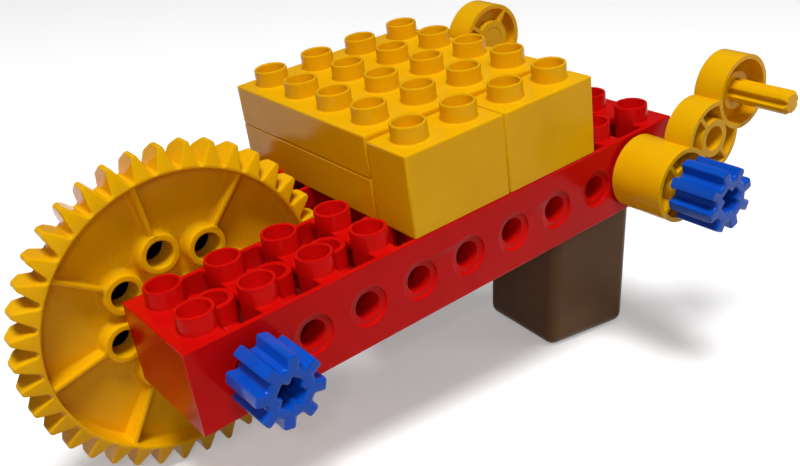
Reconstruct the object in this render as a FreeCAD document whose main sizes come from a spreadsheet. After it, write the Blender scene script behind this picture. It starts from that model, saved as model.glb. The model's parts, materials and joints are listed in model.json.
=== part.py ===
import FreeCAD, Part
import math
import os
import Sketcher

# Crank and gear toy made of stud-and-tube building blocks, in millimetres.
# The long beam lies along X, its cross holes run along Y and its studs point up +Z.
# The origin is the centre of the beam's middle cross hole.

DIMENSIONS = (
    # alias, value, meaning
    ("pitch", 16.0, "distance from stud to stud, and from cross hole to cross hole"),
    ("brick_height", 22.4, "height of the beam and of the bricks, without studs"),
    ("plate_height", 11.8, "height of one flat plate, without studs"),
    ("stud_radius", 4.75, "outside of a stud"),
    ("stud_bore_radius", 3.8, "hollow of a stud"),
    ("stud_bore_depth", 4.4, "depth of a stud's hollow"),
    ("stud_height", 4.7, "how far a stud stands up"),
    ("wall", 1.5, "side wall of every block"),
    ("deck", 2.0, "top skin of every block"),
    ("seam", 0.12, "each block is this much smaller than its stud cells, on every side"),
    ("stud_clearance", 0.1, "gap between a stud and what grips it"),
    ("rib_width", 1.4, "gripping ribs inside the walls"),
    ("beam_studs", 10, "studs along the beam"),
    ("beam_rows", 2, "studs across the beam"),
    ("opening_length", 9.4, "each deck opening, along the beam"),
    ("column_depth", 5.0, "how far the beam's stud columns hang below its top"),
    ("deck_tube_radius", 5.0, "upright tube between four studs"),
    ("deck_tube_bore", 3.4, "bore of that tube"),
    ("cross_tube_radius", 5.7, "tube round each cross hole"),
    ("bore_radius", 3.5, "cross hole"),
    ("rim_radius", 5.2, "shallow recess round the mouth of a cross hole"),
    ("rim_depth", 0.8, "depth of that recess"),
    ("grip_tube_radius", 6.45, "tube under a plate that grips four studs"),
    ("grip_tube_bore", 4.9, "bore of that tube"),
    ("brick_pin_radius", 3.1, "pin under a one-row brick, between two studs"),
    ("plate_studs", 4, "studs along each side of a plate"),
    ("brick_studs", 2, "studs along a front brick"),
    ("stack_start", 4, "stud cells from the beam's gear end to the stack of blocks"),
    ("lean", 7.15, "angle from the beam to the table that the gear and the grip block stand on"),
    ("grip_studs", 2, "side of the grip block, in stud cells"),
    ("grip_height", 46.1, "height of the grip block; it ends 0.3 below the beam"),
    ("grip_x", 39.58, "near left corner of the grip block's foot, along the beam"),
    ("grip_y", -1.88, "that corner, across the beam"),
    ("grip_z", -57.23, "that corner, below the middle of the beam"),
    ("grip_yaw", -4.04, "turn of the grip block on the table"),
    ("grip_round", 3.6, "radius of the grip block's upright edges and of its foot"),
    ("grip_wall", 2.0, "wall of the grip block"),
    ("grip_floor", 4.0, "floor of the grip block"),
    ("axle_clearance", 0.08, "between a turning axle and its bore"),
    ("axle_arm", 2.9, "width of an arm of the axle's cross section"),
    ("fit_clearance", 0.06, "between an axle and the cross hole of a pushed-on piece"),
    ("axle_chamfer", 0.8, "end chamfer of the axles"),
    ("gear_hole", 1, "number of the cross hole that carries the crown gear"),
    ("crank_hole", 9, "number of the cross hole that carries the cranks"),
    ("gear_teeth", 40, "teeth of the crown gear"),
    ("gear_tip", 43.4, "tip radius of the crown gear"),
    ("gear_root", 37.8, "root radius of the crown gear"),
    ("gear_rim_inner", 36.8, "inside of the crown gear's rim"),
    ("gear_depth", 9.5, "depth of the crown gear's rim"),
    ("gear_front_bevel", 1.8, "axial fall of the teeth's front bevel"),
    ("gear_back_bevel", 3.2, "axial fall of the teeth's back bevel"),
    ("gear_back_tip", 41.0, "radius where the back bevel starts"),
    ("gear_back_edge", 0.4, "small bevel inside the rim's back"),
    ("gap_root_width", 1.7, "tooth gap at the root"),
    ("gap_tip_width", 5.6, "tooth gap at the tip"),
    ("gear_gap", 1.5, "from the beam to the crown gear's front"),
    ("web_back", 1.0, "from the rim's back to the web"),
    ("web_thickness", 2.4, "web of the crown gear"),
    ("hub_radius", 8.0, "hub of the crown gear"),
    ("hub_gap", 0.3, "from the beam to the hub"),
    ("boss_count", 8, "ring bosses and ribs of the crown gear"),
    ("boss_circle", 16.7, "radius of the circle of ring bosses"),
    ("boss_bore", 3.55, "hole of a ring boss"),
    ("boss_radius", 5.2, "ring boss at its front"),
    ("boss_base_radius", 5.9, "ring boss at the web"),
    ("boss_height", 3.6, "ring boss above the web"),
    ("rib_thickness", 1.4, "radial rib of the crown gear"),
    ("rib_inner_height", 3.0, "rib above the web beside its boss"),
    ("rib_outer_height", 5.1, "rib above the web at the rim"),
    ("gear_turn", 53.0, "turn of the gear and its pinion at rest, in degrees"),
    ("pinion_teeth", 8, "teeth of a pinion"),
    ("pinion_tip", 9.0, "tip radius of a pinion"),
    ("pinion_root", 6.3, "root radius of a pinion"),
    ("pinion_tooth", 3.2, "width of a pinion tooth"),
    ("pinion_length", 13.8, "length of a pinion"),
    ("pinion_gap", 1.5, "from the beam to the gear's pinion, and from a crank to its pinion"),
    ("pinion_recess", 8.0, "from a pinion's outer face in to the axle's end"),
    ("drum_radius", 10.7, "drum of a crank"),
    ("drum_length", 16.5, "length of the drum"),
    ("drum_gap", 1.0, "from the beam to the near crank"),
    ("lobe_radius", 10.6, "round lobes of a crank's arm"),
    ("lobe_depth", 8.8, "thickness of the arm"),
    ("crank_wall", 1.4, "walls round the cells of a crank"),
    ("crank_floor", 1.6, "floor between the cells of a crank"),
    ("drum_cell_depth", 6.0, "open cell in the drum's outer end"),
    ("cup_depth", 4.8, "cell round the handle pin"),
    ("collar_height", 2.2, "collar round the handle pin, in that cell"),
    ("back_rib_turn", 45.0, "turn of the ribs behind the handle pin, from the arm, in degrees"),
    ("crank_ring", 5.5, "ring round each hole of a crank; the middle one joins its neighbours"),
    ("crank_rib", 1.2, "thin ribs in the cells of a crank"),
    ("near_turn", 36.5, "direction of the near crank at rest, in degrees"),
    ("handle_length", 22.3, "length of the handle pin"),
    ("handle_out", 15.3, "how far the handle pin stands out of the near crank"),
    ("far_gap", 12.0, "from the beam to the far crank"),
    ("far_turn", 98.0, "direction of the far crank at rest, in degrees"),
    ("cap_radius", 6.0, "head of the far crank's plug"),
    ("cap_height", 5.5, "how far that head stands out of the far crank"),
    ("far_axle_inset", 1.0, "from the far crank's outer face in to its axle's end"),
    ("axle_parting", 0.5, "half the space between the two axles in the crank's cross hole"),
)

doc = FreeCAD.newDocument("crank_gear_toy")
sheet = doc.addObject("Spreadsheet::Sheet", "sizes")
for row, (alias, value, meaning) in enumerate(DIMENSIONS, start=1):
    sheet.set("A%d" % row, alias)
    sheet.set("B%d" % row, str(value))
    sheet.set("C%d" % row, meaning)
    sheet.setAlias("B%d" % row, alias)
doc.recompute()


def size(alias):
    """The number in the sheet's cell of that name."""
    return float(getattr(sheet, alias))


def count(alias):
    """The whole number in the sheet's cell of that name."""
    return int(round(size(alias)))


# ---- sketch helpers: every length is a formula over the sheet's cells ----------------------


def origin_feature(body, role):
    return next(item for item in body.Origin.OriginFeatures if item.Role == role)


def new_body(name):
    body = doc.addObject("PartDesign::Body", name)
    body.Label = name
    return body


def new_sketch(body, name, role="XY_Plane", lift=None, along=None, turn=None):
    """A sketch on one of the body's planes; formulas lift, shift and turn it."""
    sketch = body.newObject("Sketcher::SketchObject", name)
    sketch.AttachmentSupport = [(origin_feature(body, role), "")]
    sketch.MapMode = "FlatFace"
    if lift:
        sketch.setExpression(".AttachmentOffset.Base.z", lift)
    if along:
        sketch.setExpression(".AttachmentOffset.Base.x", along)
    if turn:
        sketch.setExpression(".AttachmentOffset.Rotation.Angle", turn)
    return sketch


def bind(sketch, constraint, formula):
    number = sketch.addConstraint(constraint)
    sketch.setExpression("Constraints[%d]" % number, formula)


def tie(sketch, kind, axis, geometry, corner, formula):
    """Holds one coordinate of a point: None is zero, and a leading minus is the far side."""
    if formula is None:
        sketch.addConstraint(Sketcher.Constraint("PointOnObject", geometry, corner, axis))
    elif formula.startswith("-"):
        bind(sketch, Sketcher.Constraint(kind, geometry, corner, -1, 1, 1.0), formula[1:])
    else:
        bind(sketch, Sketcher.Constraint(kind, -1, 1, geometry, corner, 1.0), formula)


def place(sketch, geometry, corner, x, y):
    """Ties a point of the sketch to the formulas x and y."""
    if x is None and y is None:
        sketch.addConstraint(Sketcher.Constraint("Coincident", geometry, corner, -1, 1))
        return
    tie(sketch, "DistanceX", -2, geometry, corner, x)
    tie(sketch, "DistanceY", -1, geometry, corner, y)


def circle(sketch, x, y, radius):
    start = Part.Circle(FreeCAD.Vector(5, 5, 0), FreeCAD.Vector(0, 0, 1), 1)
    number = sketch.addGeometry(start, False)
    place(sketch, number, 3, x, y)
    bind(sketch, Sketcher.Constraint("Radius", number, 1.0), radius)


def polygon(sketch, corners):
    """A closed outline through corners given as pairs of formulas."""
    spots = []
    for x, y in corners:
        sign_x = -1 if x and x.startswith("-") else 1
        sign_y = -1 if y and y.startswith("-") else 1
        step = len(spots) + 1
        spots.append(FreeCAD.Vector(sign_x * (0 if x is None else step), sign_y * step * step, 0))
    lines = []
    for index, spot in enumerate(spots):
        after = spots[(index + 1) % len(spots)]
        lines.append(sketch.addGeometry(Part.LineSegment(spot, after), False))
    for index, line in enumerate(lines):
        after = lines[(index + 1) % len(lines)]
        sketch.addConstraint(Sketcher.Constraint("Coincident", line, 2, after, 1))
    for line, (x, y) in zip(lines, corners):
        place(sketch, line, 1, x, y)


def rectangle(sketch, left, low, right, high):
    polygon(sketch, ((left, low), (right, low), (right, high), (left, high)))


def extrude(body, kind, sketch, name, length, reverse=False, midplane=False):
    """A Pad or a Pocket of the sketch over the length that a formula gives."""
    feature = body.newObject("PartDesign::" + kind, name)
    feature.Profile = sketch
    feature.setExpression("Length", length)
    feature.Reversed = reverse
    feature.Midplane = midplane
    return feature


def pad(body, sketch, name, length, reverse=False, midplane=False):
    return extrude(body, "Pad", sketch, name, length, reverse, midplane)


def pocket(body, sketch, name, length, reverse=False):
    return extrude(body, "Pocket", sketch, name, length, reverse)


def repeat_round(body, features, name, copies):
    """Copies of the features round the body's Z axis; copies is a formula."""
    pattern = body.newObject("PartDesign::PolarPattern", name)
    pattern.Originals = features
    pattern.Axis = (origin_feature(body, "Z_Axis"), [""])
    pattern.Angle = 360
    pattern.setExpression("Occurrences", copies)
    body.Tip = pattern
    return pattern


def repeat_along(body, features, name, length, copies):
    """Copies of the features along the body's X axis; length and copies are formulas."""
    pattern = body.newObject("PartDesign::LinearPattern", name)
    pattern.Originals = features
    pattern.Direction = (origin_feature(body, "X_Axis"), [""])
    pattern.setExpression("Length", length)
    pattern.setExpression("Occurrences", copies)
    body.Tip = pattern
    return pattern


def set_down(body, x, y, z):
    """Puts an unturned body's own corner at the formulas x, y and z."""
    body.setExpression(".Placement.Base.x", x)
    body.setExpression(".Placement.Base.y", y)
    body.setExpression(".Placement.Base.z", z)


def cell_centre(index):
    """Formula of the middle of a stud cell, counted from a block's corner."""
    return "sizes.pitch * %.1f" % (index + 0.5)


def inner(index):
    """The same from the corner of a block that is smaller than its cells by the seam."""
    return cell_centre(index) + " - sizes.seam"


# ---- features that several blocks share -----------------------------------------------------


def box_shell(body, long_side, short_side, height):
    """A block open below: outer walls and a top deck."""
    outline = new_sketch(body, body.Name + "_outline")
    polygon(outline, ((None, None), (long_side, None), (long_side, short_side), (None, short_side)))
    pad(body, outline, body.Name + "_block", height)
    hollow = new_sketch(body, body.Name + "_hollow")
    rectangle(hollow, "sizes.wall", "sizes.wall",
              long_side + " - sizes.wall", short_side + " - sizes.wall")
    pocket(body, hollow, body.Name + "_cavity", height + " - sizes.deck", reverse=True)


def studs(body, centres, top, depth="0"):
    """Hollow studs on the top face; they may hang below it as columns."""
    feet = new_sketch(body, body.Name + "_stud_feet", lift="%s - (%s)" % (top, depth))
    for x, y in centres:
        circle(feet, x, y, "sizes.stud_radius")
    pad(body, feet, body.Name + "_studs", "sizes.stud_height + (%s)" % depth)
    rings = new_sketch(body, body.Name + "_stud_mouths", lift="%s + sizes.stud_height" % top)
    for x, y in centres:
        circle(rings, x, y, "sizes.stud_bore_radius")
    return pocket(body, rings, body.Name + "_stud_bores", "sizes.stud_bore_depth")


def wall_ribs(body, columns, first_row, far_side):
    """Pairs of ribs inside the long walls that grip the studs of a block below."""
    outline = new_sketch(body, body.Name + "_rib_outline")
    reach = first_row + " - sizes.stud_radius - sizes.stud_clearance"
    for x in columns:
        left = x + " - sizes.rib_width / 2"
        right = x + " + sizes.rib_width / 2"
        rectangle(outline, left, "sizes.wall / 2", right, reach)
        rectangle(outline, left, "%s - (%s)" % (far_side, reach), right,
                  far_side + " - sizes.wall / 2")
    pad(body, outline, body.Name + "_ribs", "sizes.brick_height - sizes.deck / 2")


def cross_hole(body, name, length):
    """A cross-shaped hole on the body's axis that takes an axle, cut as four arms."""
    outline = new_sketch(body, name + "_arm")
    half = "sizes.axle_arm / 2 + sizes.fit_clearance"
    reach = "sizes.bore_radius - sizes.axle_clearance + sizes.fit_clearance"
    polygon(outline, ((None, "-(%s)" % half), (reach, "-(%s)" % half),
                      (reach, half), (None, half)))
    arm = pocket(body, outline, name, length, reverse=True)
    return repeat_round(body, [arm], name + "_turned", "4")


# ---- the blocks -------------------------------------------------------------------------------


def make_beam():
    """Red beam: thin walls, cross tubes, open deck, two rows of studs."""
    body = new_body("beam")
    studs_long = count("beam_studs")
    rows = count("beam_rows")
    length = "sizes.beam_studs * sizes.pitch"
    width = "sizes.beam_rows * sizes.pitch"
    holes = range(1, studs_long)
    box_shell(body, length, width, "sizes.brick_height")

    openings = new_sketch(body, "deck_openings", lift="sizes.brick_height")
    for hole in holes:
        middle = "sizes.pitch * %d" % hole
        rectangle(openings, middle + " - sizes.opening_length / 2", "sizes.wall",
                  middle + " + sizes.opening_length / 2", width + " - sizes.wall")
    pocket(body, openings, "deck_pockets", "sizes.deck * 2")

    columns = [(cell_centre(i), cell_centre(j)) for i in range(studs_long) for j in range(rows)]
    studs(body, columns, "sizes.brick_height", "sizes.column_depth")
    wall_ribs(body, [cell_centre(i) for i in range(studs_long)], cell_centre(0), width)

    upright = new_sketch(body, "deck_tube_outline")
    for hole in holes:
        circle(upright, "sizes.pitch * %d" % hole, width + " / 2", "sizes.deck_tube_radius")
        circle(upright, "sizes.pitch * %d" % hole, width + " / 2", "sizes.deck_tube_bore")
    pad(body, upright, "deck_tubes", "sizes.brick_height")

    across = new_sketch(body, "cross_tube_outline", role="XZ_Plane")
    for hole in holes:
        circle(across, "sizes.pitch * %d" % hole, "sizes.brick_height / 2",
               "sizes.cross_tube_radius")
    pad(body, across, "cross_tubes", width, reverse=True)
    bores = new_sketch(body, "cross_bore_outline", role="XZ_Plane")
    for hole in holes:
        circle(bores, "sizes.pitch * %d" % hole, "sizes.brick_height / 2", "sizes.bore_radius")
    pocket(body, bores, "cross_bores", width)
    for name, lift, inward in (("near_rims", None, False), ("far_rims", "-(%s)" % width, True)):
        rims = new_sketch(body, name + "_outline", role="XZ_Plane", lift=lift)
        for hole in holes:
            circle(rims, "sizes.pitch * %d" % hole, "sizes.brick_height / 2", "sizes.rim_radius")
        pocket(body, rims, name, "sizes.rim_depth", reverse=inward)
    set_down(body, "-sizes.beam_studs * sizes.pitch / 2", "-sizes.beam_rows * sizes.pitch / 2",
             "-sizes.brick_height / 2")
    return body


def make_front_brick(name, order):
    """Yellow one-row brick on the beam's near studs; order counts them from the gear end."""
    body = new_body(name)
    length = "sizes.brick_studs * sizes.pitch - 2 * sizes.seam"
    width = "sizes.pitch - 2 * sizes.seam"
    columns = count("brick_studs")
    box_shell(body, length, width, "sizes.brick_height")
    wall_ribs(body, [inner(i) for i in range(columns)], inner(0), width)
    pins = new_sketch(body, name + "_pin_outline")
    for i in range(1, columns):
        circle(pins, "sizes.pitch * %d - sizes.seam" % i, inner(0), "sizes.brick_pin_radius")
    pad(body, pins, name + "_pins", "sizes.brick_height - sizes.deck / 2")
    studs(body, [(inner(i), inner(0)) for i in range(columns)], "sizes.brick_height")
    start = "(sizes.stack_start + %d * sizes.brick_studs - sizes.beam_studs / 2)" % order
    set_down(body, start + " * sizes.pitch + sizes.seam",
             "-sizes.beam_rows * sizes.pitch / 2 + sizes.seam", "sizes.brick_height / 2")
    return body


def make_plate(name, storey):
    """Yellow square plate, open below, with a gripping tube between every four studs."""
    body = new_body(name)
    side = "sizes.plate_studs * sizes.pitch - 2 * sizes.seam"
    cells = range(count("plate_studs"))
    box_shell(body, side, side, "sizes.plate_height")
    tubes = new_sketch(body, name + "_tube_outline")
    for i in cells[1:]:
        for j in cells[1:]:
            x = "sizes.pitch * %d - sizes.seam" % i
            y = "sizes.pitch * %d - sizes.seam" % j
            circle(tubes, x, y, "sizes.grip_tube_radius")
            circle(tubes, x, y, "sizes.grip_tube_bore")
    pad(body, tubes, name + "_tubes", "sizes.plate_height - sizes.deck / 2")
    studs(body, [(inner(i), inner(j)) for i in cells for j in cells], "sizes.plate_height")
    set_down(body, "(sizes.stack_start - sizes.beam_studs / 2) * sizes.pitch + sizes.seam",
             "(1 - sizes.beam_rows / 2) * sizes.pitch + sizes.seam",
             "sizes.brick_height / 2 + %d * sizes.plate_height" % storey)
    return body


def make_grip_block():
    """Brown block with rounded edges that stands upright on the table, open above."""
    body = new_body("grip_block")
    side = "sizes.grip_studs * sizes.pitch - 2 * sizes.seam"
    foot = new_sketch(body, "grip_foot")
    polygon(foot, ((None, None), (side, None), (side, side), (None, side)))
    prism = pad(body, foot, "grip_prism", "sizes.grip_height")
    doc.recompute()
    rounded = []
    for number, edge in enumerate(prism.Shape.Edges, start=1):
        if min(vertex.Z for vertex in edge.Vertexes) < size("grip_height") / 2:
            rounded.append("Edge%d" % number)
    rounding = body.newObject("PartDesign::Fillet", "grip_rounding")
    rounding.Base = (prism, rounded)
    rounding.setExpression("Radius", "sizes.grip_round")
    hollow = new_sketch(body, "grip_hollow_outline", lift="sizes.grip_height")
    rectangle(hollow, "sizes.grip_wall", "sizes.grip_wall",
              side + " - sizes.grip_wall", side + " - sizes.grip_wall")
    pocket(body, hollow, "grip_hollow", "sizes.grip_height - sizes.grip_floor")
    set_down(body, "sizes.grip_x", "sizes.grip_y", "sizes.grip_z")
    tilt = FreeCAD.Rotation(FreeCAD.Vector(0, 1, 0), size("lean"))
    body.Placement.Rotation = tilt.multiply(
        FreeCAD.Rotation(FreeCAD.Vector(0, 0, 1), size("grip_yaw")))
    return body


# ---- axles and what they turn: built along the body's own Z axis --------------------------------

BEAM_FACE = size("beam_rows") * size("pitch") / 2
NEAR = FreeCAD.Rotation(FreeCAD.Vector(1, 0, 0), 90)
FAR = FreeCAD.Rotation(FreeCAD.Vector(1, 0, 0), -90)


def hole_x(alias):
    """X of a numbered cross hole of the beam."""
    return (size(alias) - size("beam_studs") / 2) * size("pitch")


def aim(body, x, y, z, facing, turn):
    """Puts a body on a line along Y: its own Z points near or far, turned as seen from near."""
    sense = 1 if facing is NEAR else -1
    spin = FreeCAD.Rotation(FreeCAD.Vector(0, 0, 1), sense * turn)
    body.Placement = FreeCAD.Placement(FreeCAD.Vector(x, y, z), facing.multiply(spin))


def make_axle(name, length):
    """Cross-section axle: a rod with four grooves; length is a formula."""
    body = new_body(name)
    rod = new_sketch(body, name + "_round")
    circle(rod, None, None, "sizes.bore_radius - sizes.axle_clearance")
    bar = pad(body, rod, name + "_rod", length)
    doc.recompute()
    ends = ["Edge%d" % (i + 1) for i, edge in enumerate(bar.Shape.Edges)
            if len(edge.Vertexes) == 1]
    bevel = body.newObject("PartDesign::Chamfer", name + "_ends")
    bevel.Base = (bar, ends)
    bevel.setExpression("Size", "sizes.axle_chamfer")
    groove = new_sketch(body, name + "_groove_outline")
    rectangle(groove, "sizes.axle_arm / 2", "sizes.axle_arm / 2",
              "sizes.bore_radius * 2", "sizes.bore_radius * 2")
    cut = pocket(body, groove, name + "_groove", length, reverse=True)
    repeat_round(body, [cut], name + "_grooves", "4")
    return body


def make_pinion(name):
    """Blue long-toothed pinion; the arms of its cross hole point at tooth gaps."""
    body = new_body(name)
    core = new_sketch(body, name + "_core_outline")
    circle(core, None, None, "sizes.pinion_root")
    pad(body, core, name + "_core", "sizes.pinion_length")
    flank = new_sketch(body, name + "_tooth_outline", turn="180 / sizes.pinion_teeth")
    polygon(flank, (("sizes.pinion_root / 2", "-(sizes.pinion_tooth / 2)"),
                    ("sizes.pinion_tip", "-(sizes.pinion_tooth / 2)"),
                    ("sizes.pinion_tip", "sizes.pinion_tooth / 2"),
                    ("sizes.pinion_root / 2", "sizes.pinion_tooth / 2")))
    tooth = pad(body, flank, name + "_tooth", "sizes.pinion_length")
    repeat_round(body, [tooth], name + "_teeth", "sizes.pinion_teeth")
    cross_hole(body, name + "_cross", "sizes.pinion_length")
    return body


def make_crown_gear():
    """Yellow crown gear: spur-like bevelled teeth, deep rim, web with ring bosses and ribs."""
    body = new_body("crown_gear")
    web_top = "sizes.web_back + sizes.web_thickness"
    front = "sizes.gear_depth"
    section = new_sketch(body, "gear_section", role="XZ_Plane")
    polygon(section, (
        (None, "sizes.web_back"),
        ("sizes.gear_rim_inner", "sizes.web_back"),
        ("sizes.gear_rim_inner + sizes.gear_back_edge", None),
        ("sizes.gear_back_tip", None),
        ("sizes.gear_tip", "sizes.gear_back_bevel"),
        ("sizes.gear_tip", front + " - sizes.gear_front_bevel"),
        ("sizes.gear_root", front),
        ("sizes.gear_rim_inner", front),
        ("sizes.gear_rim_inner", web_top),
        (None, web_top)))
    blank = body.newObject("PartDesign::Revolution", "gear_blank")
    blank.Profile = section
    blank.ReferenceAxis = (section, ["V_Axis"])
    blank.Angle = 360

    # One tooth gap: a round-bottomed slot that widens to the tips.
    gap = new_sketch(body, "gap_outline", lift=front)
    half_root = "sizes.gap_root_width / 2"
    half_tip = "sizes.gap_tip_width / 2"
    polygon(gap, (("sizes.gear_root + " + half_root, "-(%s)" % half_root),
                  ("sizes.gear_tip", "-(%s)" % half_tip),
                  ("sizes.gear_tip + sizes.gap_tip_width", "-(%s)" % half_tip),
                  ("sizes.gear_tip + sizes.gap_tip_width", half_tip),
                  ("sizes.gear_tip", half_tip),
                  ("sizes.gear_root + " + half_root, half_root)))
    slot = pocket(body, gap, "tooth_gap", front)
    bottom = new_sketch(body, "gap_bottom_outline", lift=front)
    circle(bottom, "sizes.gear_root + " + half_root, None, half_root)
    bottom_cut = pocket(body, bottom, "tooth_gap_bottom", front)
    repeat_round(body, [slot, bottom_cut], "tooth_gaps", "sizes.gear_teeth")

    hub = new_sketch(body, "hub_outline", lift="sizes.web_back")
    circle(hub, None, None, "sizes.hub_radius")
    pad(body, hub, "hub", front + " - sizes.web_back + sizes.gear_gap - sizes.hub_gap")

    rib = new_sketch(body, "rib_outline", role="XZ_Plane")
    in_rim = "(sizes.gear_rim_inner + sizes.gear_root) / 2"
    polygon(rib, (
        ("sizes.boss_circle + sizes.boss_bore", "sizes.web_back + sizes.web_thickness / 2"),
        (in_rim, "sizes.web_back + sizes.web_thickness / 2"),
        (in_rim, web_top + " + sizes.rib_outer_height"),
        ("sizes.boss_circle + sizes.boss_bore", web_top + " + sizes.rib_inner_height")))
    rib_pad = pad(body, rib, "rib", "sizes.rib_thickness", midplane=True)
    repeat_round(body, [rib_pad], "ribs", "sizes.boss_count")
    boss = new_sketch(body, "boss_outline", lift=web_top)
    circle(boss, "sizes.boss_circle", None, "sizes.boss_base_radius")
    boss_pad = pad(body, boss, "ring_boss", "sizes.boss_height")
    boss_pad.setExpression("TaperAngle", "-atan((sizes.boss_base_radius - sizes.boss_radius)"
                           " / sizes.boss_height)")
    repeat_round(body, [boss_pad], "ring_bosses", "sizes.boss_count")
    mouth = new_sketch(body, "boss_bore_outline", lift="sizes.web_back")
    circle(mouth, "sizes.boss_circle", None, "sizes.boss_bore")
    hole = pocket(body, mouth, "boss_bore", front, reverse=True)
    repeat_round(body, [hole], "boss_bores", "sizes.boss_count")
    cross_hole(body, "hub_cross", front + " * 2")
    return body


def make_crank(name):
    """Yellow crank: an axle drum and an arm of two lobes, with ribbed cells moulded into it."""
    body = new_body(name)
    front = "sizes.drum_length"
    arm_back = "sizes.drum_length - sizes.lobe_depth"
    middle = "sizes.pitch"
    end = "sizes.pitch * 2"
    cell = "sizes.lobe_radius - sizes.crank_wall"

    drum = new_sketch(body, name + "_drum_outline")
    circle(drum, None, None, "sizes.drum_radius")
    pad(body, drum, name + "_drum", front)
    for label, x in (("middle", middle), ("end", end)):
        lobe = new_sketch(body, "%s_%s_outline" % (name, label), lift=arm_back)
        circle(lobe, x, None, "sizes.lobe_radius")
        pad(body, lobe, "%s_%s_lobe" % (name, label), "sizes.lobe_depth")

    # The middle cell comes first, because the walls of its neighbours cross it.
    hollow = new_sketch(body, name + "_middle_cell_outline", lift=front)
    circle(hollow, middle, None, cell)
    middle_depth = "sizes.lobe_depth - sizes.crank_floor"
    pocket(body, hollow, name + "_middle_cell", middle_depth)
    walls = (("drum_wall", None, "sizes.drum_radius"), ("end_wall", end, "sizes.lobe_radius"),
             ("middle_ring", middle, "sizes.crank_ring"))
    for label, x, radius in walls:
        wall = new_sketch(body, "%s_%s_outline" % (name, label), lift=arm_back)
        circle(wall, x, None, radius)
        pad(body, wall, "%s_%s" % (name, label), "sizes.lobe_depth")
    ribs = new_sketch(body, name + "_middle_rib_outline", lift=arm_back)
    rectangle(ribs, middle + " - sizes.crank_rib / 2", "-(%s + sizes.crank_wall / 2)" % cell,
              middle + " + sizes.crank_rib / 2", "%s + sizes.crank_wall / 2" % cell)
    pad(body, ribs, name + "_middle_ribs", "sizes.lobe_depth")

    # Open cup round the handle pin, and a ribbed cell on the other side of its floor.
    cup = new_sketch(body, name + "_cup_outline", lift=front)
    circle(cup, end, None, cell)
    pocket(body, cup, name + "_cup", "sizes.cup_depth")
    collar = new_sketch(body, name + "_collar_outline", lift=front + " - sizes.cup_depth")
    circle(collar, end, None, "sizes.crank_ring")
    pad(body, collar, name + "_collar", "sizes.collar_height")
    back = new_sketch(body, name + "_back_cell_outline", lift=arm_back)
    circle(back, end, None, cell)
    circle(back, end, None, "sizes.crank_ring")
    back_depth = "sizes.lobe_depth - sizes.cup_depth - sizes.crank_floor"
    pocket(body, back, name + "_back_cell", back_depth, reverse=True)
    for label, wide, tall in (("back_rib_long", cell, "sizes.crank_rib / 2"),
                              ("back_rib_cross", "sizes.crank_rib / 2", cell)):
        rib = new_sketch(body, "%s_%s_outline" % (name, label), lift=arm_back, along=end,
                         turn="sizes.back_rib_turn")
        rectangle(rib, "-(%s)" % wide, "-(%s)" % tall, wide, tall)
        pad(body, rib, "%s_%s" % (name, label), back_depth)

    drum_cell = new_sketch(body, name + "_drum_cell_outline", lift=front)
    circle(drum_cell, None, None, "sizes.drum_radius - sizes.crank_wall")
    circle(drum_cell, None, None, "sizes.crank_ring")
    pocket(body, drum_cell, name + "_drum_cell", "sizes.drum_cell_depth")
    drum_rib = new_sketch(body, name + "_drum_rib_outline", lift=front + " - sizes.drum_cell_depth")
    rectangle(drum_rib, "(sizes.crank_ring + sizes.bore_radius) / 2", "-(sizes.crank_rib / 2)",
              "sizes.drum_radius - sizes.crank_wall / 2", "sizes.crank_rib / 2")
    spoke = pad(body, drum_rib, name + "_drum_rib", "sizes.drum_cell_depth")
    repeat_round(body, [spoke], name + "_drum_ribs", "4")

    holes = new_sketch(body, name + "_hole_outline", lift=arm_back)
    for x in (middle, end):
        circle(holes, x, None, "sizes.bore_radius - sizes.axle_clearance + sizes.fit_clearance")
    pocket(body, holes, name + "_holes", "sizes.lobe_depth", reverse=True)
    cross_hole(body, name + "_cross", front)
    return body


def make_plug():
    """Yellow plug in the far crank's end hole: a round head and a stem."""
    body = new_body("far_plug")
    stem = new_sketch(body, "plug_stem_outline")
    circle(stem, None, None, "sizes.bore_radius - sizes.axle_clearance")
    seat = "sizes.lobe_depth - sizes.cup_depth + sizes.collar_height"
    pad(body, stem, "plug_stem", seat)
    head = new_sketch(body, "plug_head_outline", lift=seat)
    circle(head, None, None, "sizes.crank_ring")
    pad(body, head, "plug_neck", "sizes.cup_depth - sizes.collar_height")
    cap = new_sketch(body, "plug_cap_outline", lift="sizes.lobe_depth")
    circle(cap, None, None, "sizes.cap_radius")
    pad(body, cap, "plug_cap", "sizes.cap_height")
    return body


# ---- the assembly -------------------------------------------------------------------------------

parts = [
    make_beam(),
    make_front_brick("left_brick", 0),
    make_front_brick("right_brick", 1),
    make_plate("lower_plate", 0),
    make_plate("upper_plate", 1),
    make_grip_block(),
]

gear_x = hole_x("gear_hole")
gear_back = BEAM_FACE + size("gear_gap") + size("gear_depth")
crown_gear = make_crown_gear()
aim(crown_gear, gear_x, gear_back, 0, NEAR, size("gear_turn"))
gear_pinion = make_pinion("gear_pinion")
aim(gear_pinion, gear_x, -BEAM_FACE - size("pinion_gap"), 0, NEAR, size("gear_turn"))
gear_axle = make_axle(
    "gear_axle",
    "sizes.beam_rows * sizes.pitch + sizes.gear_gap + sizes.gear_depth + sizes.pinion_gap"
    " + sizes.pinion_length - sizes.pinion_recess")
aim(gear_axle, gear_x, gear_back, 0, NEAR, size("gear_turn"))

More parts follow.
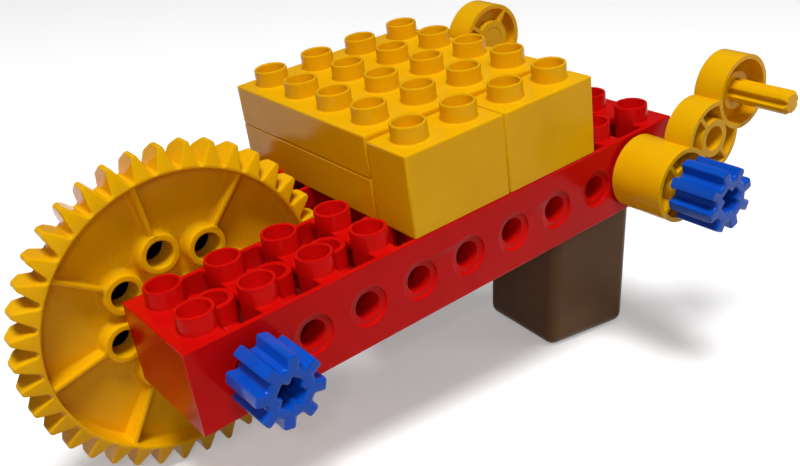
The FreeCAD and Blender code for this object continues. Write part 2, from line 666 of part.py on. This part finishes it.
crank_x = hole_x("crank_hole")
near_y = -BEAM_FACE - size("drum_gap")
near_crank = make_crank("near_crank")
aim(near_crank, crank_x, near_y, 0, NEAR, size("near_turn"))
pinion_y = near_y - size("drum_length") - size("pinion_gap")
crank_pinion = make_pinion("crank_pinion")
aim(crank_pinion, crank_x, pinion_y, 0, NEAR, size("near_turn"))
crank_axle = make_axle(
    "crank_axle",
    "sizes.beam_rows * sizes.pitch / 2 - sizes.axle_parting + sizes.drum_gap"
    " + sizes.drum_length + sizes.pinion_gap + sizes.pinion_length - sizes.pinion_recess")
aim(crank_axle, crank_x, -size("axle_parting"), 0, NEAR, size("near_turn"))


def arm_end(turn):
    """X and Z of the end hole of a crank that points that way."""
    reach = 2 * size("pitch")
    angle = math.radians(turn)
    return crank_x + reach * math.cos(angle), reach * math.sin(angle)


handle_x, handle_z = arm_end(size("near_turn"))
handle_pin = make_axle("handle_pin", "sizes.handle_length")
handle_y = near_y - size("drum_length") - size("handle_out") + size("handle_length")
aim(handle_pin, handle_x, handle_y, handle_z, NEAR, size("near_turn"))

far_y = BEAM_FACE + size("far_gap")
far_crank = make_crank("far_crank")
aim(far_crank, crank_x, far_y, 0, FAR, size("far_turn"))
far_axle = make_axle(
    "far_axle",
    "sizes.beam_rows * sizes.pitch / 2 - sizes.axle_parting + sizes.far_gap"
    " + sizes.drum_length - sizes.far_axle_inset")
aim(far_axle, crank_x, size("axle_parting"), 0, FAR, size("far_turn"))
plug_x, plug_z = arm_end(size("far_turn"))
far_plug = make_plug()
plug_y = far_y + size("drum_length") - size("lobe_depth")
aim(far_plug, plug_x, plug_y, plug_z, FAR, size("far_turn"))

parts += [crown_gear, gear_pinion, gear_axle, near_crank, crank_pinion, crank_axle, handle_pin,
          far_crank, far_axle, far_plug]

doc.recompute()
for item in doc.Objects:
    if {"Invalid", "Error"} & set(item.State):
        raise RuntimeError("%s did not rebuild: %s" % (item.Label, item.State))
for body in parts:
    if body.Shape.isNull() or not body.Shape.isValid():
        raise RuntimeError("%s has no valid shape" % body.Label)

os.makedirs("parts", exist_ok=True)
for body in parts:
    body.Shape.exportStep("parts/%s.step" % body.Label)
    box = body.Shape.BoundBox
    print("%-14s solids %d volume %9.1f  x %7.2f %7.2f  y %7.2f %7.2f  z %7.2f %7.2f" % (
        body.Label, len(body.Shape.Solids), body.Shape.Volume,
        box.XMin, box.XMax, box.YMin, box.YMax, box.ZMin, box.ZMax))
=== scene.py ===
import json
import math

import bmesh
import bpy
from mathutils import Euler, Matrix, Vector


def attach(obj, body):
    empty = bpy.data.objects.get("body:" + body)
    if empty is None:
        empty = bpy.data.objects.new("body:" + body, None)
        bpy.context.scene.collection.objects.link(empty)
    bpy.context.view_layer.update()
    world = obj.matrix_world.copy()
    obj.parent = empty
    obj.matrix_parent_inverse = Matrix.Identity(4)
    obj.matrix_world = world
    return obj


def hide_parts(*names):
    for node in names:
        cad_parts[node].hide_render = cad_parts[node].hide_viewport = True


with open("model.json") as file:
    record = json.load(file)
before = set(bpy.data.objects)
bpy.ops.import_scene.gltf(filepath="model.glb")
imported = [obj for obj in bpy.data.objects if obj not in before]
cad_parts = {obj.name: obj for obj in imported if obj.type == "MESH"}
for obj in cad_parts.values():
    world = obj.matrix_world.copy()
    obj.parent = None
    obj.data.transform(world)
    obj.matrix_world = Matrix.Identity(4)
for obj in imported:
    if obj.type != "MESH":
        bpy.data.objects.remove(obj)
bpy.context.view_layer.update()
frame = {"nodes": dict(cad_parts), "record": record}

MM = 0.001


# ---- shader arithmetic --------------------------------------------------------------------------


class Wire:
    """An output socket of a material; arithmetic on it adds Math nodes."""

    def __init__(self, paint, socket):
        self.paint = paint
        self.socket = socket

    def math(self, operation, left, right=None):
        return self.paint.node("Math", {"operation": operation}, {0: left, 1: right})

    def __add__(self, other):
        return self.math("ADD", self, other)

    def __radd__(self, other):
        return self.math("ADD", other, self)

    def __sub__(self, other):
        return self.math("SUBTRACT", self, other)

    def __rsub__(self, other):
        return self.math("SUBTRACT", other, self)

    def __mul__(self, other):
        return self.math("MULTIPLY", self, other)

    def __rmul__(self, other):
        return self.math("MULTIPLY", other, self)

    def at_most(self, other):
        return self.math("MINIMUM", self, other)

    def at_least(self, other):
        return self.math("MAXIMUM", self, other)


class Paint:
    """A procedural material while its nodes are added."""

    def __init__(self, name):
        self.material = bpy.data.materials.new(name)
        self.material.use_nodes = True
        self.tree = self.material.node_tree
        self.shader = self.tree.nodes["Principled BSDF"]
        self.place = self.node("TexCoord", output="Object")

    def node(self, kind, settings=None, inputs=None, output=0):
        """A node of that type: settings come first, then values or wires into its sockets."""
        node = self.tree.nodes.new("ShaderNode" + kind)
        for name, value in (settings or {}).items():
            if name == "stops":
                self.set_stops(node.color_ramp, value)
            else:
                setattr(node, name, value)
        for socket, value in (inputs or {}).items():
            if value is not None:
                self.feed(node.inputs[socket], value)
        return Wire(self, node.outputs[output])

    def set_stops(self, ramp, stops):
        """A ramp holds two stops: a position and a level of grey each."""
        for element, (position, level) in zip(ramp.elements, stops):
            element.position = position
            element.color = (level, level, level, 1)

    def feed(self, socket, value):
        if isinstance(value, Wire):
            self.tree.links.new(value.socket, socket)
        else:
            socket.default_value = value

    def finish(self, **sockets):
        """Sets the shader's own sockets; an underscore stands for a blank."""
        for name, value in sockets.items():
            self.feed(self.shader.inputs[name.replace("_", " ")], value)
        return self.material

    def stretched(self, scale, turn):
        """The object's coordinates, scaled and turned, for a texture node."""
        return self.node("Mapping", None, {"Vector": self.place, "Scale": scale, "Rotation": turn})

    def noise(self, scale, detail=2, place=None, distortion=0):
        settings = {"noise_dimensions": "3D"}
        inputs = {"Vector": place or self.place, "Scale": scale, "Detail": detail,
                  "Distortion": distortion}
        return self.node("TexNoise", settings, inputs, output="Fac")

    def ramp(self, wire, *stops):
        return self.node("ValToRGB", {"stops": stops}, {"Fac": wire})

    def blend(self, factor, first, second):
        """A colour between first and second."""
        settings = {"data_type": "RGBA"}
        inputs = {0: factor, 6: first, 7: second}
        return self.node("Mix", settings, inputs, output=2)

    def bump(self, height, strength, distance, under=None):
        inputs = {"Height": height, "Strength": strength, "Distance": distance, "Normal": under}
        return self.node("Bump", None, inputs)


# ---- plastics -----------------------------------------------------------------------------------


# Noise scales are in waves to the metre, bump depths in millimetres.
FLOW_SCALE = 60
HANDLED_SCALE = 45
RIPPLE_SCALE = 160
GRAIN_SCALE = 2600
RUB_SCALE = 900
RUB_STRETCHES = (((1, 0.12, 0.3), (0.3, 0.5, 0.8)), ((0.12, 1, 0.3), (0.2, 0.9, 0.4)))
RUB_ROUGHENS = 0.10
HANDLING_ROUGHENS = 0.05
RIPPLE_DEPTH = 0.4
GRAIN_DEPTH = 0.1
RUB_DEPTH = 0.05
EJECTOR_DEPTH = 0.15
# A painted sheen: the lighter yellow that is laid along the ejector marks' lines.
EJECTOR_SHEEN_COLOUR = (0.95, 0.62, 0.05, 1)


def moulded_plastic(name, colour, deep, roughness, shine=0.14, glow=0.0, discs=()):
    """Glossy moulded plastic: a faint flow in its colour, fine rubbed marks and a soft waviness.

    Discs are the centres of round marks that the mould's ejector pins leave: each mark's line is
    pressed in as a dent, and it also carries a painted sheen of lighter yellow.
    """
    paint = Paint(name)
    flow = paint.noise(FLOW_SCALE, 3, distortion=0.6)
    patches = paint.ramp(flow, (0.35, 0), (0.65, 1))
    body = paint.blend(patches, (*colour, 1), (*deep, 1))

    rubbed, crossed = [paint.noise(RUB_SCALE, 4, paint.stretched(*stretch))
                       for stretch in RUB_STRETCHES]
    marks = paint.ramp(rubbed.at_least(crossed), (0.62, 0), (0.74, 1))
    handled = paint.ramp(paint.noise(HANDLED_SCALE), (0.4, 0), (0.7, 1))
    gloss = roughness + RUB_ROUGHENS * (marks * handled) + HANDLING_ROUGHENS * handled

    ripple = paint.noise(RIPPLE_SCALE)
    grain = paint.noise(GRAIN_SCALE)
    surface = paint.bump(ripple, 0.10, RIPPLE_DEPTH * MM)
    surface = paint.bump(grain, 0.05, GRAIN_DEPTH * MM, surface)
    surface = paint.bump(1 - marks, 0.04, RUB_DEPTH * MM, surface)
    if discs:
        ring_dents_and_sheen = ejector_rings(paint, discs)
        surface = paint.bump(ring_dents_and_sheen, 0.8, EJECTOR_DEPTH * MM, surface)
        # Painted sheen: the marks' lines are painted lighter, as if catching the light; only their
        # dent is real relief.
        body = paint.blend(ring_dents_and_sheen * 0.3, body, EJECTOR_SHEEN_COLOUR)
    material = paint.finish(Base_Color=body, Roughness=gloss, Normal=surface)
    set_gloss(paint.shader, colour, shine, glow)
    return material


def ejector_rings(paint, discs):
    """1 on the fine round lines around those centres, 0 elsewhere."""
    nearest = 1
    for centre in discs:
        away = paint.node("VectorMath", {"operation": "DISTANCE"}, {0: paint.place, 1: centre},
                          output="Value")
        nearest = away.at_most(nearest)
    from_line = paint.node("Math", {"operation": "ABSOLUTE"}, {0: nearest - EJECTOR_RADIUS * MM})
    return paint.node("MapRange", None, {"Value": from_line, "From Min": 0.0,
                                         "From Max": EJECTOR_LINE * MM, "To Min": 1.0,
                                         "To Max": 0.0})


GLOSS_COLOURED = 0.65
SEEPING_DEPTH = 2


def set_gloss(shader, colour, shine, glow):
    """Reflections that take some of the plastic's colour, and light that seeps through it."""
    strongest = max(colour)
    tint = [1 - GLOSS_COLOURED + GLOSS_COLOURED * part / strongest for part in colour]
    shader.inputs["IOR"].default_value = 1.5
    shader.inputs["Specular IOR Level"].default_value = shine
    shader.inputs["Specular Tint"].default_value = (*tint, 1)
    shader.inputs["Subsurface Weight"].default_value = glow
    shader.inputs["Subsurface Radius"].default_value = (1.0, 0.25, 0.05)
    shader.inputs["Subsurface Scale"].default_value = SEEPING_DEPTH * MM


# The crown gear, in millimetres and degrees; each ejector mark is between two ring bosses.
GEAR_AXIS_X = -64
BOSS_STEP = 45
BOSS_CIRCLE = 16.7
BOSS_TURN = 53
WEB_FRONT = 23.6
EJECTOR_CIRCLE = 20.8
EJECTOR_TURN = BOSS_TURN + BOSS_STEP / 2
EJECTOR_RADIUS = 2.7
EJECTOR_LINE = 0.25


def round_the_gear(circle, turn, depth):
    """Eight places round the crown gear's axis, on a circle, at a depth along Y, in metres."""
    places = []
    for step in range(360 // BOSS_STEP):
        angle = math.radians(turn + BOSS_STEP * step)
        places.append((MM * (GEAR_AXIS_X + circle * math.cos(angle)), MM * depth,
                       MM * circle * math.sin(angle)))
    return places


# Each plastic: its colour, the deeper shade in its flow, its roughness.
YELLOW = ((0.86, 0.455, 0.002), (0.82, 0.425, 0.002))
YELLOW_GLOW = 0.15
PLASTICS = {
    "red_plastic": moulded_plastic("red_plastic", (0.62, 0.004, 0.003), (0.56, 0.003, 0.002),
                                   0.13, shine=0.12),
    "yellow_plastic": moulded_plastic("yellow_plastic", *YELLOW, 0.15, glow=YELLOW_GLOW),
    "blue_plastic": moulded_plastic("blue_plastic", (0.004, 0.085, 0.56), (0.003, 0.072, 0.50),
                                    0.16, shine=0.35),
    "brown_plastic": moulded_plastic("brown_plastic", (0.16, 0.085, 0.040), (0.14, 0.072, 0.033),
                                     0.28),
    "axle_plastic": moulded_plastic("axle_plastic", *YELLOW, 0.26, glow=YELLOW_GLOW),
}
GEAR_PLASTIC = moulded_plastic("gear_plastic", *YELLOW, 0.15, glow=YELLOW_GLOW,
                               discs=round_the_gear(EJECTOR_CIRCLE, EJECTOR_TURN, WEB_FRONT))


# ---- pieces -------------------------------------------------------------------------------------

SLOTS = {item["node"]: item["material_slot"] for item in frame["record"]["subparts"]}
BODY_OF = {node: body for body, nodes in frame["record"]["behaviour"]["bodies"].items()
           for node in nodes}


def dress(piece, slot, body):
    """Gives a finished piece its plastic and its body."""
    piece.data.materials.clear()
    piece.data.materials.append(PLASTICS[slot])
    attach(piece, body)


SHARP_ANGLE = math.radians(32)
FLAT_ANGLE = math.radians(0.5)
SAME_PLACE = 0.002  # millimetres
LARGE_FLAT = 40  # square millimetres
ROUNDING_STEPS = 2


def merged_copy(node):
    """The node's mesh with its facets joined into whole faces."""
    work = bmesh.new()
    work.from_mesh(frame["nodes"][node].data)
    bmesh.ops.remove_doubles(work, verts=work.verts, dist=SAME_PLACE * MM)
    bmesh.ops.dissolve_limit(work, angle_limit=FLAT_ANGLE, verts=work.verts, edges=work.edges)
    return work


def round_edges(work, radius, clamp=True):
    """Rounds every sharp edge; large faces are shaded flat, the others smooth."""
    edges = [edge for edge in work.edges
             if len(edge.link_faces) == 2 and edge.calc_face_angle() > SHARP_ANGLE]
    bmesh.ops.bevel(work, geom=edges, offset=radius * MM, offset_type="OFFSET",
                    segments=ROUNDING_STEPS, profile=0.5, affect="EDGES", material=-1,
                    clamp_overlap=clamp)
    for face in work.faces:
        face.smooth = face.calc_area() < LARGE_FLAT * MM * MM
    for edge in work.edges:
        edge.smooth = len(edge.link_faces) != 2 or edge.calc_face_angle() < SHARP_ANGLE


def as_object(name, work):
    """A linked object of that mesh."""
    mesh = bpy.data.meshes.new(name)
    work.to_mesh(mesh)
    work.free()
    made = bpy.data.objects.new(name, mesh)
    bpy.context.scene.collection.objects.link(made)
    return made


def as_piece(name, work, even=True):
    """A piece's object; even normals keep its flat faces flat beside rounded edges."""
    piece = as_object(name, work)
    if even:
        modifier = piece.modifiers.new("even_normals", "WEIGHTED_NORMAL")
        modifier.keep_sharp = True
    return piece


# These get their full radius without a clamp, because one narrow spot would hold it back
# everywhere. The beam takes no more than its 0.35 mm: at 0.4 mm its deck is spoiled.
OPEN_SHAPES = ("beam", "left_brick", "right_brick", "lower_plate", "upper_plate", "crown_gear",
               "gear_pinion", "crank_pinion", "grip_block")
EDGE_RADII = {
    "beam": 0.35, "left_brick": 0.55, "right_brick": 0.55, "lower_plate": 0.4, "upper_plate": 0.55,
    "grip_block": 0.3, "crown_gear": 0.5, "gear_pinion": 0.7, "crank_pinion": 0.7,
    "near_crank": 0.35, "far_crank": 0.35, "far_plug": 0.6, "gear_axle": 0.15, "crank_axle": 0.15,
    "far_axle": 0.15, "handle_pin": 0.3,
}


def rounded_piece(node, radius):
    """Stands for a node: the same shape with rounded edges. The beam does without even normals."""
    work = merged_copy(node)
    round_edges(work, radius, clamp=node not in OPEN_SHAPES)
    piece = as_piece(node + "_piece", work, even=node != "beam")
    dress(piece, SLOTS[node], BODY_OF[node])
    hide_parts(node)
    return piece


pieces = {node: rounded_piece(node, radius) for node, radius in EDGE_RADII.items()}
pieces["crown_gear"].data.materials[0] = GEAR_PLASTIC


# ---- forms that the solids lack -----------------------------------------------------------------

# The collars: radii, then places along Y, in millimetres.
COLLAR_BORE = 3.55
COLLAR_RADIUS = 5.2
COLLAR_START = 25.8
COLLAR_END = 29.6
COLLAR_EDGE = 0.5
COLLAR_STEPS = 48


def back_collars():
    """The ring bosses go on behind the crown gear's web, so that their holes are deep tubes."""
    outline = ((COLLAR_BORE, COLLAR_START),
               (COLLAR_BORE, COLLAR_END - COLLAR_EDGE / 2),
               (COLLAR_BORE + COLLAR_EDGE / 2, COLLAR_END),
               (COLLAR_RADIUS - COLLAR_EDGE, COLLAR_END),
               (COLLAR_RADIUS, COLLAR_END - COLLAR_EDGE),
               (COLLAR_RADIUS, COLLAR_START))
    work = bmesh.new()
    for centre in round_the_gear(BOSS_CIRCLE, BOSS_TURN, 0):
        corners = [work.verts.new(Vector(centre) + Vector((radius * MM, depth * MM, 0)))
                   for radius, depth in outline]
        sides = [work.edges.new((corner, corners[place - 1]))
                 for place, corner in enumerate(corners)]
        bmesh.ops.spin(work, geom=corners + sides, cent=centre, axis=(0, 1, 0), angle=math.tau,
                       steps=COLLAR_STEPS, use_merge=True)
    bmesh.ops.recalc_face_normals(work, faces=work.faces)
    for face in work.faces:
        face.smooth = True
    for edge in work.edges:
        edge.smooth = edge.calc_face_angle(0) < SHARP_ANGLE
    dress(as_piece("gear_back_collars", work), "yellow_plastic", "gear_shaft")


# The far beam; its cells and places are in millimetres, and its width is scaled.
CELL = 16
FAR_BEAM_Y = 3 * CELL
FAR_BEAM_SLIMMING = 0.9925
CELLS_TAKEN_OUT = 4
SEAM_X = -36
SEAM_WELD = 0.01


def far_beam():
    """A second, shorter beam behind the crown gear, under the far half of the plates.

    Both ends of the beam are kept and moved together, so cells from its middle are left out.
    """
    shift = -CELLS_TAKEN_OUT * CELL
    work = bmesh.new()
    for keeps_left, move in ((True, 0), (False, shift)):
        half = merged_copy("beam")
        bmesh.ops.bisect_plane(half, geom=half.verts[:] + half.edges[:] + half.faces[:],
                               plane_co=((SEAM_X - move) * MM, 0, 0), plane_no=(1, 0, 0),
                               clear_outer=keeps_left, clear_inner=not keeps_left)
        bmesh.ops.translate(half, verts=half.verts, vec=(move * MM, 0, 0))
        carrier = bpy.data.meshes.new("half_beam")
        half.to_mesh(carrier)
        half.free()
        work.from_mesh(carrier)
        bpy.data.meshes.remove(carrier)
    bmesh.ops.remove_doubles(work, verts=work.verts, dist=SEAM_WELD * MM)
    bmesh.ops.scale(work, verts=work.verts, vec=(1, FAR_BEAM_SLIMMING, 1))
    bmesh.ops.translate(work, verts=work.verts, vec=(0, FAR_BEAM_Y * MM, 0))
    round_edges(work, EDGE_RADII["beam"])
    dress(as_piece("far_beam", work, even=False), "red_plastic", "frame")


back_collars()
far_beam()


# ---- floor, light and camera --------------------------------------------------------------------

# The crown gear and the brown block stand on one table, which is tipped about Y from the beam.
LEAN = math.radians(7.15)
TABLE_UP = Vector((math.sin(LEAN), 0, math.cos(LEAN)))
TABLE_GAP = 0.05
FLOOR_TONE = (0.42, 0.36, 0.30)
FLOOR_LIFT = 0.3
FLOOR_HALF = 3  # metres


def table_height():
    """Distance of the table from the origin, along its own normal."""
    lowest = [min(TABLE_UP.dot(vertex.co) for vertex in frame["nodes"][node].data.vertices)
              for node in ("crown_gear", "grip_block")]
    return min(lowest) - TABLE_GAP * MM


def paper(name, tone, lift):
    """White for the camera and in reflections, a softer tone for the light it throws back."""
    paint = Paint(name)
    rays = [paint.node("LightPath", output="Is %s Ray" % kind)
            for kind in ("Camera", "Glossy", "Transmission")]
    seen = rays[0].at_least(rays[1]).at_least(rays[2])
    glow = paint.blend(seen, (0, 0, 0, 1), (lift, lift, lift, 1))
    paint.shader.inputs["Emission Strength"].default_value = 1
    return paint.finish(Base_Color=paint.blend(seen, (*tone, 1), (1, 1, 1, 1)), Roughness=0.9,
                        Emission_Color=glow)


def lay_floor():
    """A wide square of that paper, on the table's plane."""
    work = bmesh.new()
    bmesh.ops.create_grid(work, x_segments=1, y_segments=1, size=FLOOR_HALF)
    floor = as_object("floor", work)
    floor.location = table_height() * TABLE_UP
    floor.rotation_euler = (0, LEAN, 0)
    floor.data.materials.append(paper("floor_paper", FLOOR_TONE, FLOOR_LIFT))


# Each lamp: its place, its width and height in metres, and its power in watts.
SOFT_BOXES = {
    "key_light": ((-0.24, -0.52, 1.90), 0.60, 0.60, 36),
    "window_light": ((-0.60, -0.60, 0.35), 0.35, 0.35, 0.35),
    "small_light": ((-0.17, -0.21, 0.17), 0.015, 0.015, 0.08),
    "side_light": ((0.70, -0.55, 0.30), 0.3, 0.4, 0.8),
}
ROOM_LIGHT = 0.08


def soft_box(name, place, width, height, power):
    """A rectangular lamp that faces the origin."""
    lamp = bpy.data.lights.new(name, "AREA")
    lamp.shape = "RECTANGLE"
    lamp.size = width
    lamp.size_y = height
    lamp.energy = power
    holder = bpy.data.objects.new(name, lamp)
    holder.location = place
    holder.rotation_euler = (-Vector(place)).to_track_quat("-Z", "Y").to_euler()
    bpy.context.scene.collection.objects.link(holder)


def light_studio():
    for name, settings in SOFT_BOXES.items():
        soft_box(name, *settings)
    world = bpy.data.worlds.new("room")
    world.use_nodes = True
    sky = world.node_tree.nodes["Background"]
    sky.inputs["Color"].default_value = (1.0, 1.0, 1.0, 1)
    sky.inputs["Strength"].default_value = ROOM_LIGHT
    bpy.context.scene.world = world


CAMERA_PLACE = (-139.15, -191.91, 127.55)
CAMERA_TURNS = (61.88, 7.26, -37.92)


def set_camera():
    camera = bpy.data.cameras.new("camera")
    camera.sensor_width = 36
    camera.lens = 45
    holder = bpy.data.objects.new("camera", camera)
    holder.location = [part * MM for part in CAMERA_PLACE]
    holder.rotation_euler = Euler([math.radians(turn) for turn in CAMERA_TURNS])
    bpy.context.scene.collection.objects.link(holder)
    bpy.context.scene.camera = holder


lay_floor()
light_studio()
set_camera()
bpy.context.scene.view_settings.view_transform = "Standard"
